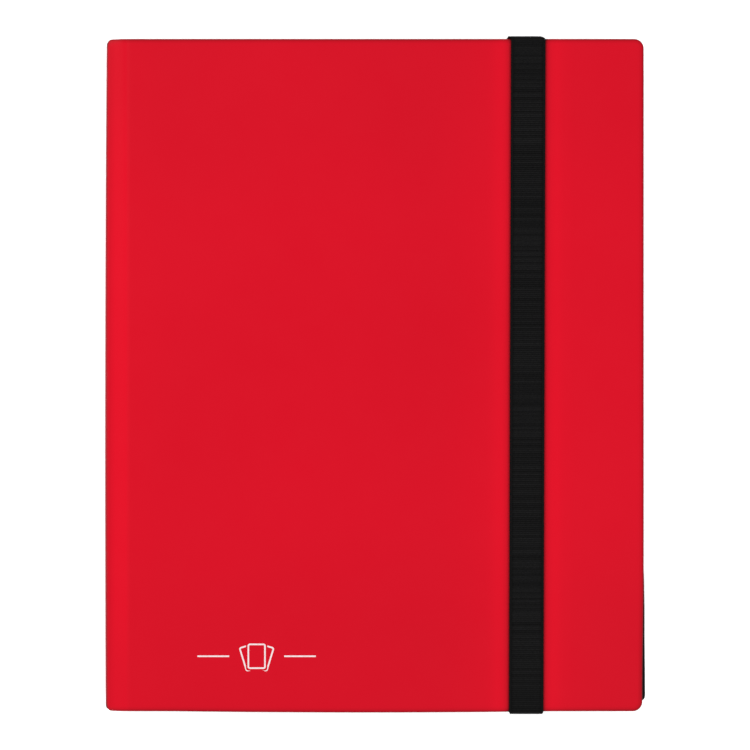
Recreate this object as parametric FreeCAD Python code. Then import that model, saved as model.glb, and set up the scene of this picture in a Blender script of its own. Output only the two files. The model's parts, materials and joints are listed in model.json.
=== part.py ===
# Nine-pocket trading card binder, closed and lying on its back cover, in millimetres.
#
# Frame: +X runs from the spine to the fore edge, +Y from the foot to the head, +Z from the back
# cover to the front cover. The origin is the middle of the outer face of the back cover.
#
# The cover is one scored polypropylene sheet, so its five stretches (back panel, crease, spine,
# crease, front panel) are solids that meet face to face. Twenty pages hang on a binding strip inside
# the spine. Each is a black sheet between two clear films, and each film has nine side-loading
# pockets. A woven elastic loop goes over the front cover, round the head and foot edges and through
# two slots in the back cover, and its two ends are sewn together inside.
import FreeCAD
import Part

import math
import os

V = FreeCAD.Vector

# --- cover -------------------------------------------------------------------------------------
COVER_W = 254.0
COVER_H = 318.0
THICKNESS = 30.0
COVER_SHEET = 1.2
LINING = 0.3
CORNER_R = 4.5
CREASE_R = 2.0
CREASE_WEB = 0.7
LINING_INSET = 0.8
FLEX_LINE_FROM_SPINE = 10.0
FLEX_LINE_WIDTH = 1.0
FLEX_LINE_DEPTH = 0.25

# --- pages -------------------------------------------------------------------------------------
PAGE_COUNT = 20
PAGE_H = 308.0
PAGE_CORNER_R = 2.6
SHEET_T = 0.25
HINGE_EDGE_T = 0.12
HINGE_TAPER = 4.0
FILM_T = 0.1
POCKET_GAP = 0.2
STACK_BASE = 3.8
STACK_TOP_GAP = 0.2
FORE_EDGE_INSET = 0.2

# --- pockets, three columns by three rows on each side of a page --------------------------------
POCKET_COLUMNS = 3
POCKET_ROWS = 3
CELL_W = 73.5
CELL_H = 101.6
SIDE_WELD = 2.5
ROW_WELD = 2.5
MOUTH_SLIT = 1.2
FILM_EDGE = 0.4
FILM_BORDER = 2.0

# --- binding strip -----------------------------------------------------------------------------
STRIP_T = 1.0
STRIP_H = 300.0
STRIP_END_GAP = 1.8
HINGE_STAND_OFF = 0.5
WELD_RIB_T = 0.4
WELD_RIB_PROUD = 0.2

# --- elastic strap -----------------------------------------------------------------------------
STRAP_X = 72.5
STRAP_W = 16.6
STRAP_T = 1.0
STRAP_GAP = 0.1
BEND_INNER_R = 0.5
BEND_INSET = 0.2
SLOT_INNER = 144.8
SLOT_OUTER = 149.2
SLOT_W = 18.2
SLOT_EASE_OUTER = 0.2
SLOT_EASE_INNER = 0.4
PAD_WALL = 1.5
PAD_T = 1.0
LAP_HALF = 12.0
LAP_RISE = 5.0
LAP_EASE = 1.0
TACK_W = 13.0
TACK_L = 1.6
TACK_T = 0.15
TACK_OFFSET = 8.0

# --- printed emblem: a fan of three blank cards between two rules -------------------------------
EMBLEM_X = -55.4
EMBLEM_Y = -132.9
EMBLEM_T = 0.05
CARD_W = 8.6
CARD_H = 12.0
CARD_R = 1.1
CARD_LINE = 0.75
FAN_ANGLE = 17.0
FAN_PIVOT_DROP = 9.0
RULE_L = 15.0
RULE_T = 0.75
RULE_START = 13.0

# --- worked out from the above -------------------------------------------------------------------
SPINE_X = -COVER_W / 2
FORE_X = COVER_W / 2
HEAD_Y = COVER_H / 2
CREASE_X = SPINE_X + CREASE_R
SPINE_INSIDE = SPINE_X + COVER_SHEET
LINED = COVER_SHEET + LINING
STRIP_BACK = SPINE_INSIDE + LINING
STRIP_FACE = STRIP_BACK + STRIP_T
HINGE_X = STRIP_FACE + HINGE_STAND_OFF
PAGE_END = FORE_X - FORE_EDGE_INSET
STACK_TOP = THICKNESS - LINED - STACK_TOP_GAP
PAGE_PITCH = (STACK_TOP - STACK_BASE) / PAGE_COUNT
FILM_SOLID_T = POCKET_GAP + FILM_T
GRID_X = PAGE_END - FILM_EDGE - FILM_BORDER - POCKET_COLUMNS * CELL_W
GRID_Y = -POCKET_ROWS * CELL_H / 2
BEND_OUTER_R = BEND_INNER_R + STRAP_T
BEND_Y = HEAD_Y - BEND_INSET
TAIL_Z = STRAP_GAP + STRAP_T / 2
BACK_BEND_Z = STRAP_GAP + BEND_OUTER_R
FRONT_BEND_Z = THICKNESS + STRAP_GAP - BEND_INNER_R
INNER_RUN_Z = LINED + STRAP_T / 2


def page_z(number):
    """Height of the middle of a page, counted from 1 at the back cover."""
    return STACK_BASE + (number - 0.5) * PAGE_PITCH


def slab(x0, x1, y0, y1, z0, z1):
    """A box between two corners."""
    return Part.makeBox(x1 - x0, y1 - y0, z1 - z0, V(x0, y0, z0))


def round_upright_edges(shape, radius, x):
    """Rounds the edges along Z that stand at the given x."""
    chosen = []
    for edge in shape.Edges:
        ends = [v.Point for v in edge.Vertexes]
        upright = len(ends) == 2 and abs(ends[0].z - ends[1].z) > 0.9 * edge.Length
        if upright and abs(ends[0].x - x) < 1e-6:
            chosen.append(edge)
    return shape.makeFillet(radius, chosen)


def prism_along_x(profile, x0, x1):
    """Extrudes a list of (y, z) points along X."""
    points = [V(x0, y, z) for y, z in profile]
    face = Part.Face(Part.makePolygon(points + points[:1]))
    return face.extrude(V(x1 - x0, 0, 0))


def quarter_ring(centre, axis, start, inner, outer, length):
    """A quarter of a tube on the given axis, from the direction start round by the right-hand rule."""
    first = V(*start)
    turn = FreeCAD.Rotation(V(*axis), 90)
    middle = FreeCAD.Rotation(V(*axis), 45).multVec(first)
    last = turn.multVec(first)
    c = V(*centre)
    outline = [
        Part.Arc(c + first * outer, c + middle * outer, c + last * outer).toShape(),
        Part.makeLine(c + last * outer, c + last * inner),
        Part.Arc(c + last * inner, c + middle * inner, c + first * inner).toShape(),
        Part.makeLine(c + first * inner, c + first * outer),
    ]
    return Part.Face(Part.Wire(outline)).extrude(V(*axis) * length)


# --- cover ---------------------------------------------------------------------------------------


def strap_slots(z0, z1, outer_y):
    """The cuts that let the strap through at the head and at the foot."""
    cuts = []
    for side in (-1, 1):
        near, far = sorted((side * SLOT_INNER, side * outer_y))
        cuts.append(slab(STRAP_X - SLOT_W / 2, STRAP_X + SLOT_W / 2, near, far, z0, z1))
    return cuts


def strap_pads(half_width, z0, z1):
    """The blocks over the strap's two recesses, from each slot to the edge of the cover."""
    pads = []
    for side in (-1, 1):
        near, far = sorted((side * SLOT_OUTER, side * HEAD_Y))
        pads.append(slab(STRAP_X - half_width, STRAP_X + half_width, near, far, z0, z1))
    return pads


def flex_line(z0, z1):
    """The score that lets a cover lift without bending the spine."""
    middle = SPINE_X + FLEX_LINE_FROM_SPINE
    half = FLEX_LINE_WIDTH / 2
    return slab(middle - half, middle + half, -HEAD_Y, HEAD_Y, z0, z1)


def front_cover_panel():
    top = THICKNESS
    plate = slab(CREASE_X, FORE_X, -HEAD_Y, HEAD_Y, top - COVER_SHEET, top)
    plate = round_upright_edges(plate, CORNER_R, FORE_X)
    return plate.cut(flex_line(top - FLEX_LINE_DEPTH, top))


def back_cover_panel():
    """The back panel, dished inward where the strap passes so that the outer face stays flat."""
    plate = slab(CREASE_X, FORE_X, -HEAD_Y, HEAD_Y, 0, COVER_SHEET)
    plate = round_upright_edges(plate, CORNER_R, FORE_X)
    plate = plate.cut(flex_line(0, FLEX_LINE_DEPTH))
    for cut in strap_slots(0, COVER_SHEET, HEAD_Y):
        plate = plate.cut(cut)
    for pad in strap_pads(SLOT_W / 2 + PAD_WALL, COVER_SHEET, COVER_SHEET + PAD_T):
        plate = plate.fuse(pad)
    return plate.removeSplitter()


def spine_panel():
    z0, z1 = CREASE_R, THICKNESS - CREASE_R
    return slab(SPINE_X, SPINE_INSIDE, -HEAD_Y, HEAD_Y, z0, z1)


def fold_crease(front):
    """The thinned, rounded stretch of sheet between the spine and one cover."""
    height = THICKNESS - CREASE_R if front else CREASE_R
    start = (-1, 0, 0) if front else (0, 0, -1)
    inner = CREASE_R - CREASE_WEB
    return quarter_ring((CREASE_X, -HEAD_Y, height), (0, 1, 0), start, inner, CREASE_R, COVER_H)


def cover_lining(z0):
    lining = slab(CREASE_X, FORE_X - LINING_INSET, -HEAD_Y + LINING_INSET,
                  HEAD_Y - LINING_INSET, z0, z0 + LINING)
    return round_upright_edges(lining, CORNER_R - LINING_INSET, FORE_X - LINING_INSET)


def back_cover_lining():
    lining = cover_lining(COVER_SHEET)
    for cut in strap_slots(COVER_SHEET, LINED, SLOT_OUTER):
        lining = lining.cut(cut)
    for pad in strap_pads(SLOT_W / 2 + PAD_WALL + STRAP_GAP, COVER_SHEET, LINED):
        lining = lining.cut(pad)
    return lining


def spine_lining():
    z0, z1 = CREASE_R, THICKNESS - CREASE_R
    y1 = HEAD_Y - LINING_INSET
    return slab(SPINE_INSIDE, STRIP_BACK, -y1, y1, z0, z1)


# --- pages ---------------------------------------------------------------------------------------


def binding_strip():
    """The strip inside the spine, with one low weld rib for each page."""
    half = STRIP_H / 2
    strip = slab(STRIP_BACK, STRIP_FACE, -half, half, STRIP_END_GAP, THICKNESS - STRIP_END_GAP)
    for number in range(1, PAGE_COUNT + 1):
        z = page_z(number)
        rib = slab(STRIP_FACE, STRIP_FACE + WELD_RIB_PROUD, -half, half,
                   z - WELD_RIB_T / 2, z + WELD_RIB_T / 2)
        strip = strip.fuse(rib)
    return strip.removeSplitter()


def page_sheet(number):
    """A black page, thinned and rounded along the edge that it turns on."""
    z = page_z(number)
    y0 = -PAGE_H / 2
    edge, half = HINGE_EDGE_T / 2, SHEET_T / 2
    taper_x = HINGE_X + HINGE_TAPER
    corners = [
        V(HINGE_X, y0, z + edge),
        V(taper_x, y0, z + half),
        V(PAGE_END, y0, z + half),
        V(PAGE_END, y0, z - half),
        V(taper_x, y0, z - half),
        V(HINGE_X, y0, z - edge),
    ]
    sides = [Part.makeLine(a, b) for a, b in zip(corners, corners[1:])]
    nose = Part.Arc(corners[-1], V(HINGE_X - edge, y0, z), corners[0]).toShape()
    sheet = Part.Face(Part.Wire(sides + [nose])).extrude(V(0, PAGE_H, 0))
    return round_upright_edges(sheet, PAGE_CORNER_R, PAGE_END)


def pocket_film(z0, toward):
    """A clear film welded to one side of a page. It stands off the page over each of its pockets,
    and a slit on the spine side is each pocket's mouth. toward is 1 above the page, -1 below."""
    y1 = PAGE_H / 2 - FILM_EDGE
    x0, x1 = GRID_X - FILM_BORDER, PAGE_END - FILM_EDGE
    low, high = sorted((z0, z0 + toward * FILM_SOLID_T))
    film = round_upright_edges(slab(x0, x1, -y1, y1, low, high), PAGE_CORNER_R - FILM_EDGE, x1)
    hollow_low, hollow_high = sorted((z0, z0 + toward * POCKET_GAP))
    cuts = []
    for column in range(POCKET_COLUMNS):
        for row in range(POCKET_ROWS):
            px, py = GRID_X + column * CELL_W, GRID_Y + row * CELL_H
            ya, yb = py + ROW_WELD, py + CELL_H - ROW_WELD
            cuts.append(slab(px, px + CELL_W - SIDE_WELD, ya, yb, hollow_low, hollow_high))
            cuts.append(slab(px, px + MOUTH_SLIT, ya, yb, low, high))
    return film.cut(Part.makeCompound(cuts))


def page_pockets(number):
    z, half = page_z(number), SHEET_T / 2
    return [pocket_film(z + half, 1), pocket_film(z - half, -1)]


# --- strap ---------------------------------------------------------------------------------------


def strap_box(y0, y1, z0, z1):
    return slab(STRAP_X - STRAP_W / 2, STRAP_X + STRAP_W / 2, y0, y1, z0, z1)


def strap_bend(side, z, start):
    """A quarter turn of the strap at the head (side 1) or the foot (side -1)."""
    centre = (STRAP_X - STRAP_W / 2, side * BEND_Y, z)
    return quarter_ring(centre, (1, 0, 0), start, BEND_INNER_R, BEND_OUTER_R, STRAP_W)


def elastic_strap():
    """The stretch of the loop that comes off the front cover: the front run and both end runs."""
    z0 = THICKNESS + STRAP_GAP
    loop = strap_box(-BEND_Y, BEND_Y, z0, z0 + STRAP_T)
    loop = loop.fuse(strap_bend(1, FRONT_BEND_Z, (0, 1, 0)))
    loop = loop.fuse(strap_bend(-1, FRONT_BEND_Z, (0, 0, 1)))
    for side in (-1, 1):
        near, far = sorted((side * (BEND_Y + BEND_INNER_R), side * (BEND_Y + BEND_OUTER_R)))
        loop = loop.fuse(strap_box(near, far, BACK_BEND_Z, FRONT_BEND_Z))
    return loop.removeSplitter()


def strap_ribbon(side, path):
    """A strap end that follows (distance from the middle, height) points, with its turn round the
    back cover's edge."""
    half = STRAP_T / 2
    above = [(side * y, z + half) for y, z in path]
    below = [(side * y, z - half) for y, z in reversed(path)]
    ribbon = prism_along_x(above + below, STRAP_X - STRAP_W / 2, STRAP_X + STRAP_W / 2)
    start = (0, 0, -1) if side > 0 else (0, -1, 0)
    return ribbon.fuse(strap_bend(side, BACK_BEND_Z, start)).removeSplitter()


def strap_end(side):
    """One end of the loop: under the back cover's edge, in through the slot, and along the lining.
    The foot end climbs onto the head end, where the two are sewn."""
    path = [
        (BEND_Y, TAIL_Z),
        (SLOT_OUTER - SLOT_EASE_OUTER, TAIL_Z),
        (SLOT_INNER + SLOT_EASE_INNER, INNER_RUN_Z),
    ]
    if side > 0:
        path.append((-LAP_HALF, INNER_RUN_Z))
    else:
        path.append((LAP_HALF + LAP_EASE + LAP_RISE, INNER_RUN_Z))
        path.append((LAP_HALF + LAP_EASE, INNER_RUN_Z + STRAP_T))
        path.append((-LAP_HALF, INNER_RUN_Z + STRAP_T))
    return strap_ribbon(side, path)


def strap_bar_tacks():
    """Two close rows of stitches across the lap of the strap's ends."""
    z0 = LINED + 2 * STRAP_T
    tacks = []
    for y in (-TACK_OFFSET, TACK_OFFSET):
        tacks.append(slab(STRAP_X - TACK_W / 2, STRAP_X + TACK_W / 2,
                          y - TACK_L / 2, y + TACK_L / 2, z0, z0 + TACK_T))
    return tacks


# --- emblem --------------------------------------------------------------------------------------


def card_blank(width, height, radius, turn):
    """A filled, rounded card of the emblem, turned about the fan's pivot."""
    z0 = THICKNESS
    card = slab(-width / 2, width / 2, -height / 2, height / 2, z0, z0 + EMBLEM_T)
    upright = [e for e in card.Edges if abs(e.Vertexes[0].Z - e.Vertexes[-1].Z) > EMBLEM_T / 2]
    card = card.makeFillet(radius, upright)
    card.rotate(V(0, -FAN_PIVOT_DROP, 0), V(0, 0, 1), turn)
    card.translate(V(EMBLEM_X, EMBLEM_Y, 0))
    return card


def card_outline(turn):
    inner = card_blank(CARD_W - 2 * CARD_LINE, CARD_H - 2 * CARD_LINE, CARD_R - CARD_LINE, turn)
    return card_blank(CARD_W, CARD_H, CARD_R, turn).cut(inner)


def cover_emblem():
    middle = card_blank(CARD_W + 2 * CARD_LINE, CARD_H + 2 * CARD_LINE, CARD_R, 0)
    pieces = [card_outline(0)]
    for turn in (-FAN_ANGLE, FAN_ANGLE):
        pieces += card_outline(turn).cut(middle).Solids
    for side in (-1, 1):
        near, far = sorted((side * RULE_START, side * (RULE_START + RULE_L)))
        pieces.append(slab(EMBLEM_X + near, EMBLEM_X + far, EMBLEM_Y - RULE_T / 2,
                           EMBLEM_Y + RULE_T / 2, THICKNESS, THICKNESS + EMBLEM_T))
    return pieces


# --- assembly ------------------------------------------------------------------------------------


def all_nodes():
    nodes = {
        "front_cover_panel": front_cover_panel(),
        "spine_panel": spine_panel(),
        "back_cover_panel": back_cover_panel(),
        "front_fold_crease": fold_crease(front=True),
        "back_fold_crease": fold_crease(front=False),
        "front_cover_lining": cover_lining(THICKNESS - LINED),
        "spine_lining": spine_lining(),
        "back_cover_lining": back_cover_lining(),
        "binding_strip": binding_strip(),
        "elastic_strap": elastic_strap(),
        "strap_head_end": strap_end(1),
        "strap_foot_end": strap_end(-1),
        "strap_bar_tacks": strap_bar_tacks(),
        "cover_emblem": cover_emblem(),
    }
    for number in range(1, PAGE_COUNT + 1):
        nodes[f"page_{number:02d}_sheet"] = page_sheet(number)
        nodes[f"page_{number:02d}_pockets"] = page_pockets(number)
    return nodes


def main():
    os.makedirs("parts", exist_ok=True)
    for name, shape in all_nodes().items():
        solids = shape if isinstance(shape, list) else shape.Solids
        node = solids[0] if len(solids) == 1 else Part.makeCompound(solids)
        valid = all(s.isValid() and s.Volume > 0 for s in solids)
        print(f"{name}: {len(solids)} solid(s), {node.Volume / 1000:.3f} cm3, valid {valid}")
        node.exportStep(os.path.join("parts", name + ".step"))


main()
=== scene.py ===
import json
import math
import random

import bmesh
import bpy
import numpy as np
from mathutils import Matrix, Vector


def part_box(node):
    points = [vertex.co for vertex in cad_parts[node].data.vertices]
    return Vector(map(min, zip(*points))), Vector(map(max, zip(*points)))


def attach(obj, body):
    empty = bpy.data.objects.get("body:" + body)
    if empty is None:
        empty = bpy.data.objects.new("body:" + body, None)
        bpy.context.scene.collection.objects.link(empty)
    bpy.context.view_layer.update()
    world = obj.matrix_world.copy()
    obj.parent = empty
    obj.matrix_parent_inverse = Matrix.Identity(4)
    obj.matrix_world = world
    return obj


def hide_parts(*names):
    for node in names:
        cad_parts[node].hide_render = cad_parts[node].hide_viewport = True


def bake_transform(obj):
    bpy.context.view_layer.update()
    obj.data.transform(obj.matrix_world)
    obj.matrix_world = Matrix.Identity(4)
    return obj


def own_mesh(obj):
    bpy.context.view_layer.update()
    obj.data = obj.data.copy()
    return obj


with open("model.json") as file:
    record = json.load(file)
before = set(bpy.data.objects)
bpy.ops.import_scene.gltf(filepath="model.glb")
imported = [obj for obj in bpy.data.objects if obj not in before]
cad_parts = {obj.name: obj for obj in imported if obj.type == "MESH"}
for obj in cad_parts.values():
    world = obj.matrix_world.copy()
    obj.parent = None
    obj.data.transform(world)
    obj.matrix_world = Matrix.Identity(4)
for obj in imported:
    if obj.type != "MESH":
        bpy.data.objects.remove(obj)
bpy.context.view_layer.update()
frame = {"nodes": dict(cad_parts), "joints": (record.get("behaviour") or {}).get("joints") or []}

MM = 0.001
WELD_REACH = 0.001 * MM
LINE_GAP = 0.02 * MM
TINY = 1e-9
random.seed(20)

# --- places read from the frame ------------------------------------------------------------------
FRONT_LO, FRONT_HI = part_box("front_cover_panel")
FOLD_LO, FOLD_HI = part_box("front_fold_crease")
LINING_LO, LINING_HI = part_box("front_cover_lining")
STRAP_LO, STRAP_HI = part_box("elastic_strap")
LAP_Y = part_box("strap_head_end")[0].y
PAGE_COUNT = sum(name.endswith("_sheet") for name in frame["nodes"])
JOINTS = {joint["name"]: joint for joint in frame["joints"]}

SPINE_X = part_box("spine_panel")[0].x
FORE_X = FRONT_HI.x
HALF_H = FRONT_HI.y
TOP = FRONT_HI.z
SHEET = FRONT_HI.z - FRONT_LO.z
LINING = LINING_HI.z - LINING_LO.z
FOLD_R = FOLD_HI.z - FOLD_LO.z
HINGE_X = JOINTS["page_01_turn"]["pos_m"][0]

# --- jacket --------------------------------------------------------------------------------------
# A SPAN is a (start, end) pair for ramp, and LINES are places of grid lines, closer together where a
# sheet bends.
SEAM_DROP = 8 * MM
CORNER_R = 4.5 * MM
FOLD_CORNER_R = 3.0 * MM
FOLD_CORNER_REACH = 5 * MM
FOLD_END_SPAN = (HALF_H - 25 * MM, HALF_H)
RIM_R = 0.45 * MM
RIM_LINES = (0.0, 0.06 * MM, 0.2 * MM, 0.45 * MM, 0.8 * MM, 1.3 * MM, 2.2 * MM, 3.2 * MM, 4.5 * MM)
GRID_STEP = 7 * MM
SEAM_STEP, FOLD_STEP, FLEX_STEP, SPINE_STEP = 1 * MM, 0.35 * MM, 1.2 * MM, 2 * MM
STRAP_SIDE_LINES = np.array([-0.6, 0, 0.5, 1.1, 2.0, 3.5, 6, 9]) * MM
FLEX_X = SPINE_X + 10 * MM
FLEX_DEPTH = 0.14 * MM
FLEX_HALF = 1.1 * MM
FLEX_LINES = FLEX_HALF * np.array([-2.4, -1.6, -0.9, -0.4, 0, 0.4, 0.9, 1.6, 2.4])
FOLD_SINK = 0.8 * MM
COVER_SINK_SPAN, SPINE_SINK_SPAN = (0.4 * MM, 9.5 * MM), (0.4 * MM, 6 * MM)
FACE_SPAN = (2 * MM, 8 * MM)
SPINE_BOW = 0.85 * MM
SPINE_BOW_Y, SPINE_BOW_HALF = -40 * MM, 211 * MM
SPINE_BOW_FADE = 8 * MM
SPINE_CURL = 1.2 * MM
SPINE_CURL_REACH = 3.2 * MM
CROWN = 0.35 * MM
CROWN_X, CROWN_FORE = (FLEX_X, FLEX_X + 60 * MM), 70 * MM
STRAP_PRESS = 14 * MM
WAVE = 0.1 * MM
WAVE_X, WAVE_Y = 31 * MM, 43 * MM
WAVE_START_X, WAVE_START_Y = 1.3, 0.4
FORE_PROUD = 0.65 * MM
FORE_PROUD_SPAN = (100 * MM, FORE_X)
FOOT_LEAN = 0.68 * MM
FOOT_LEAN_X, FOOT_LEAN_Y = (60 * MM, FORE_X), (85 * MM, 152 * MM)
FOOT_BOW = 0.6 * MM
FOOT_BOW_X, FOOT_BOW_HALF, FOOT_BOW_Y = -5 * MM, 90 * MM, (141 * MM, HALF_H)
LINING_INSET = 0.8 * MM
LINING_LINES = np.array([0.0, 0.05, 0.15, 1.2, 3.7]) * MM
LINING_RIM_R = 0.12 * MM
LINING_OVERLAP = 0.02 * MM
INK_LIFT = 0.02 * MM

# --- painted light and shade on the red ----------------------------------------------------------
# All of these paint light and shade onto the red. Three numbers are a patch: its amount, middle and
# width.
# Painted shade along the rim, and a painted highlight just inside it.
EDGE_SHADE, EDGE_SHADE_WIDTH = 0.66, 0.95 * MM
EDGE_HIGHLIGHT = (0.04, 2.2 * MM, 1 * MM)
# Painted shade along the fold and over the spine.
FOLD_SHADE = (0.7, 0.5 * MM, 1.35 * MM)
SPINE_SHADE, SPINE_SHADE_SPAN = 0.24, (-1 * MM, 2 * MM)
# Painted light on the band between the fold and the flex line, weaker towards the head and foot, and
# just past the line.
FLEX_BAND_LIGHT, FLEX_BAND_LIGHT_START = 0.13, (SPINE_X + 1.5 * MM, SPINE_X + 5 * MM)
FLEX_BAND_LIGHT_END, FLEX_BAND_LIGHT_END_FADE = FLEX_X + 2.2 * MM, 3 * MM
FLEX_BAND_LIGHT_LOSS, FLEX_BAND_LIGHT_LOSS_SPAN = 0.5, (105 * MM, 152 * MM)
PAST_FLEX_LIGHT = (0.02, FLEX_X + 4 * MM, 12 * MM)
# Painted shade across the middle, towards the head and foot, and at the foot's fore corner.
MIDDLE_SHADE = (0.03, 25 * MM, 32 * MM)
ENDS_SHADE, ENDS_SHADE_SPAN = 0.035, (60 * MM, 130 * MM)
CORNER_SHADE, CORNER_SHADE_X, CORNER_SHADE_Y = 0.04, (80 * MM, FORE_X), (40 * MM, 140 * MM)
# Painted light on either side of the strap, and painted shade right beside it.
STRAP_SIDE_LIGHT, STRAP_WIDE_LIGHT = (0.07, 4.5 * MM, 4 * MM), (0.03, 0, 20 * MM)
STRAP_SHADE, STRAP_SHADE_WIDTH = 0.5, 0.9 * MM

# --- strap ---------------------------------------------------------------------------------------
STRAP_X = (STRAP_LO.x + STRAP_HI.x) / 2
STRAP_W = STRAP_HI.x - STRAP_LO.x
STRAP_T = 1.0 * MM
STRAP_TILT = 0.5 * MM
STRAP_GAP = 0.1 * MM
STRAP_CLEAR = 0.02 * MM
BEND_R = 1.0 * MM
BEND_Y = STRAP_HI.y - BEND_R - STRAP_T / 2
STRETCH_NARROWING = 0.15 * MM
BEND_TUCK = 0.5 * MM
LEG_EASE = 0.45
BEND_SWAY = 1.8 * MM
HEAD_SWAY = 2.4 * MM
HEAD_SWAY_SPAN = (0, 0.6)
EDGE_ROUND = 0.45
BODY_SHARE = 0.7
SELVAGE = 1.1 * MM
SELVAGE_GROOVE = 0.35 * MM
GROOVE_DEPTH = 0.08 * MM
RIB_PITCH = 0.95 * MM
RIB_HEIGHT = 0.1 * MM
RIB_VARIATION = 0.27
# Painted highlight on the rib crests and painted shade in the rib valleys and the selvage grooves; the
# strap is also darker towards its edges.
RIB_CREST_HIGHLIGHT, RIB_VALLEY_SHADE = 1.1, 0.75
GROOVE_SHADE, SIDE_DARK = 0.6, 0.4
DARKEST = 0.05
ROWS_PER_RIB = 4
SLOT_INNER = 144.8 * MM
SLOT_OUTER = 149.2 * MM
SLOT_HALF_W = 9.1 * MM
SLOT_CLIMB_Y, SLOT_CLIMB = SLOT_OUTER - 0.6 * MM, 3.2 * MM
LAP_CLIMB_Y, LAP_CLIMB = 18 * MM, 5 * MM
END_POINTS, LAP_POINTS = 30, 12
DISH_EDGE = 1.5 * MM
DISH_DEPTH = SHEET + 0.05 * MM
THREAD_R = 0.17 * MM
THREAD_BITE = 0.1 * MM
TACK_HALF = 0.8 * MM
TACK_SLANT = 0.75
TACK_STITCHES = 34

# --- pages ---------------------------------------------------------------------------------------
PAGE_CORNER_R = 2.6 * MM
PAGE_RIM_R = 0.1 * MM
PAGE_LINES = np.array([0.0, 0.03, 0.1, 0.8, 1.6, 2.6]) * MM
PAGE_HINGE_LINES = HINGE_X + np.array([0, 1, 2, 3, 4, 6, 8, 10, 12, 16]) * MM
PAGE_GRID_X, PAGE_STEP = HINGE_X + 24 * MM, 14 * MM
PAGE_THIN, PAGE_THIN_REACH = 0.45, 4 * MM
PAGE_WAVE = 0.1 * MM
PAGE_WAVE_REACH = 150 * MM
PAGE_RIPPLE_X, PAGE_RIPPLE_Y, PAGE_RIPPLE_LONG = 38 * MM, 52 * MM, 27 * MM
PAGE_PUSH = 1.75 * MM
PAGE_PUSH_STEPS = ((0.85, 60 * MM, 108 * MM), (0.15, 122 * MM, 150 * MM))
PAGE_SLIP = 0.45 * MM
POCKETS = 3
CELL_W = 73.5 * MM
CELL_H = 101.6 * MM
CELL_SLACK = 1e-6
WELD = 2.5 * MM
MOUTH_GAP = 0.12 * MM
FILM_T = 0.08 * MM
FILM_LOW = 0.02 * MM
FILM_PUFF = 0.2 * MM
FILM_RISE = 5 * MM
FILM_LIP, FILM_LIP_REACH = 0.45, 5 * MM
FILM_LINES = (0, 1.2 * MM, 4 * MM)
FILM_BORDER = 2.0 * MM
FILM_EDGE = 0.4 * MM

# --- stage ---------------------------------------------------------------------------------------
VIEW_W = 354.6 * MM
LENS, SENSOR = 100.0, 36.0
CAMERA_X, CAMERA_Y = 0.55 * MM, 0.05 * MM
FLOOR_HALF = 6.0
FLOOR_DROP = 0.3 * MM
KEY_PLACE, KEY_SIZE, KEY_POWER = (-1.2, 1.0, 1.4), 1.2, 9
FILL_PLACE, FILL_SIZE, FILL_POWER = (1.2, -1.0, 1.4), 1.4, 6
WORLD_FULL_FROM, WORLD_FULL_TO = 0.35, 0.8
WORLD_BELOW, WORLD_ABOVE = 0.5, 0.2


# --- small mathematics ---------------------------------------------------------------------------


def ramp(value, start, end):
    """0 before start, 1 after end, and a smooth climb between."""
    t = np.clip((value - start) / (end - start), 0, 1)
    return t * t * (3 - 2 * t)


def bell(value, width):
    """1 at 0, falling smoothly to nothing on both sides."""
    return np.exp(-((value / width) ** 2))


def patch(value, amount, middle, width):
    """A soft patch that reaches amount at its middle."""
    return amount * bell(value - middle, width)


def spread(low, high, step):
    """Evenly spaced values from low to high, about a step apart."""
    return np.linspace(low, high, max(2, int(round((high - low) / step)) + 1))


def lines(*groups):
    """One sorted list of grid lines, with near duplicates dropped."""
    merged = np.sort(np.concatenate([np.atleast_1d(np.array(g, float)) for g in groups]))
    kept = [merged[0]]
    for value in merged[1:]:
        if value - kept[-1] > LINE_GAP:
            kept.append(value)
    return np.array(kept)


def edge_lines(half, near, step):
    """Grid lines across a width of 2 * half that crowd towards both edges."""
    close = half - np.array(near)
    return lines(close, -close, spread(-half + near[-1], half - near[-1], step))


def round_corners(u, v, u_end, v_half, radius):
    """Bends a grid's two corners at u_end round a radius. Returns u, v and the distance inside the
    outline, which counts the ends and the far side."""
    a = np.clip((u - (u_end - radius)) / radius, 0, 1)
    b = np.clip((np.abs(v) - (v_half - radius)) / radius, 0, 1)
    reach = np.maximum(a, b)
    safe_a, safe_b = np.maximum(a, TINY), np.maximum(b, TINY)
    turn = np.where(a >= b, b / safe_a, 2 - a / safe_b) * math.pi / 4
    corner = (a > 0) & (b > 0)
    new_u = np.where(corner, u_end - radius + radius * reach * np.cos(turn), u)
    new_v = np.where(corner, v_half - radius + radius * reach * np.sin(turn), np.abs(v))
    inside = np.where(corner, radius * (1 - reach), np.minimum(u_end - u, v_half - np.abs(v)))
    return new_u, new_v * np.sign(v), np.maximum(inside, 0)


def rim_drop(inside, radius):
    """How far a rounded-over edge lies under the face, at a distance inside the outline."""
    short = radius - np.minimum(inside, radius)
    return radius - np.sqrt(np.maximum(radius**2 - short**2, 0))


# --- mesh building -------------------------------------------------------------------------------


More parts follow.
